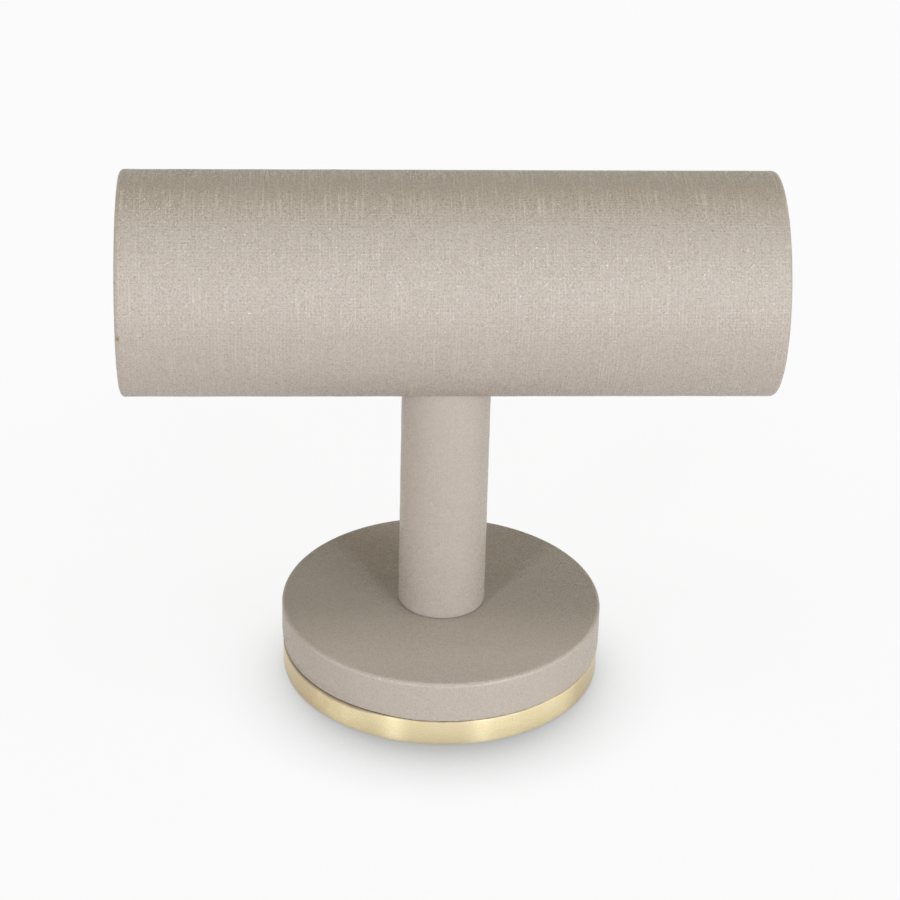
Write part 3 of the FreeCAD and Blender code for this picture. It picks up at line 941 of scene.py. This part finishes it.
def makeLamps():
    # a lamp of power P at distance d gives irradiance P / (pi * d^2) on its axis
    for name, (azimuth, elevation, wide, tall, light, colour) in studio["lamps"].items():
        turn, rise = math.radians(azimuth), math.radians(elevation)
        away = Vector((math.sin(turn) * math.cos(rise), -math.cos(turn) * math.cos(rise),
                       math.sin(rise)))
        lamp = bpy.data.lights.new(name, "AREA")
        lamp.shape = "RECTANGLE"
        lamp.size, lamp.size_y = wide, tall
        lamp.energy = light * math.pi * studio["distance"] ** 2
        lamp.color = toLinear(colour)[:3]
        stand = bpy.data.objects.new(name, lamp)
        stand.location = Vector(studio["aim"]) + away * studio["distance"]
        stand.rotation_mode = "QUATERNION"
        stand.rotation_quaternion = away.to_track_quat("Z", "Y")
        scene.collection.objects.link(stand)


def shownRays(tree):
    # 1 for the rays that see the floor and the room as the camera does
    rays = addNode(tree, "ShaderNodeLightPath").outputs
    shown = rays["Is Camera Ray"]
    for kind in ("Is Glossy Ray", "Is Transmission Ray"):
        shown = addNode(tree, "ShaderNodeMath", {
            0: shown, 1: rays[kind]}, operation="MAXIMUM").outputs[0]
    return shown


def makeWorld():
    # the room is dim above, and goes on from the white floor near the horizon
    world = bpy.data.worlds.new("studio")
    scene.world = world
    world.use_nodes = True
    tree = world.node_tree
    tree.nodes.clear()
    direction = addNode(tree, "ShaderNodeTexCoord").outputs["Generated"]
    height = addNode(tree, "ShaderNodeSeparateXYZ", {0: direction}).outputs["Z"]
    first, last = studio["horizon"]
    low = addNode(tree, "ShaderNodeMapRange", {
        "Value": height, "From Min": first, "From Max": last, "To Min": 1.0,
        "To Max": 0.0}, interpolation_type="SMOOTHSTEP").outputs["Result"]
    share = addNode(tree, "ShaderNodeMath", {
        0: low, 1: shownRays(tree)}, operation="MULTIPLY").outputs[0]
    room = addNode(tree, "ShaderNodeBackground", {
        "Color": toLinear(studio["ambient"]), "Strength": studio["ambientStrength"]})
    paper = addNode(tree, "ShaderNodeBackground", {
        "Color": (1, 1, 1, 1), "Strength": studio["paper"]})
    mix = addNode(tree, "ShaderNodeMixShader", {
        0: share, 1: room.outputs[0], 2: paper.outputs[0]})
    addNode(tree, "ShaderNodeOutputWorld", {"Surface": mix.outputs[0]})


def makeFloor():
    side = studio["floorHalf"]
    mesh = bpy.data.meshes.new("floor")
    corners = [(-side, -side, 0), (side, -side, 0), (side, side, 0), (-side, side, 0)]
    mesh.from_pydata(corners, [], [(0, 1, 2, 3)])
    floor = bpy.data.objects.new("floor", mesh)
    scene.collection.objects.link(floor)
    material, tree = newMaterial("whitePaper")
    place = addNode(tree, "ShaderNodeTexCoord").outputs["Object"]
    away = addNode(tree, "ShaderNodeVectorMath", {0: place}, operation="LENGTH").outputs["Value"]
    even = addNode(tree, "ShaderNodeMapRange", {
        "Value": away, "From Min": studio["paperFrom"], "From Max": studio["paperTo"]},
        interpolation_type="SMOOTHSTEP").outputs["Result"]
    matte = addNode(tree, "ShaderNodeBsdfDiffuse", {"Color": toLinear(studio["floorColour"])})
    share = studio["litShare"]
    # this diffuse part and the lift add up to the paper's tone
    shaded = addNode(tree, "ShaderNodeBsdfDiffuse", {"Color": (share, share, share, 1)})
    # contact shadow: the lift goes down by depth * (share of the sky that is hidden) ^ fall,
    # and the sky is looked at with a lean to the back, so that the shadow lies to the front
    lean = addNode(tree, "ShaderNodeCombineXYZ", {"Y": studio["contactLean"], "Z": 1.0})
    seenSky = addNode(tree, "ShaderNodeAmbientOcclusion", {
        "Distance": studio["contactReach"], "Normal": lean.outputs[0]},
        samples=studio["contactSamples"])
    hidden = addNode(tree, "ShaderNodeMath", {
        0: 1.0, 1: seenSky.outputs["AO"]}, operation="SUBTRACT").outputs[0]
    falling = addNode(tree, "ShaderNodeMath", {
        0: hidden, 1: studio["contactFall"]}, operation="POWER").outputs[0]
    dark = addNode(tree, "ShaderNodeMath", {
        0: falling, 1: studio["contactMost"]}, operation="MINIMUM").outputs[0]
    lifted = addNode(tree, "ShaderNodeMath", {
        0: dark, 1: -studio["contactDepth"], 2: studio["paper"] - share * studio["litTone"]},
        operation="MULTIPLY_ADD").outputs[0]
    lift = addNode(tree, "ShaderNodeEmission", {"Strength": lifted})
    paper = addNode(tree, "ShaderNodeEmission", {"Strength": studio["paper"]})
    lit = addNode(tree, "ShaderNodeAddShader", {0: shaded.outputs[0], 1: lift.outputs[0]})
    seen = addNode(tree, "ShaderNodeMixShader", {0: even, 1: lit.outputs[0], 2: paper.outputs[0]})
    mix = addNode(tree, "ShaderNodeMixShader", {
        0: shownRays(tree), 1: matte.outputs[0], 2: seen.outputs[0]})
    addNode(tree, "ShaderNodeOutputMaterial", {"Surface": mix.outputs[0]})
    mesh.materials.append(material)


makeLamps()
makeWorld()
makeFloor()
print("studio")
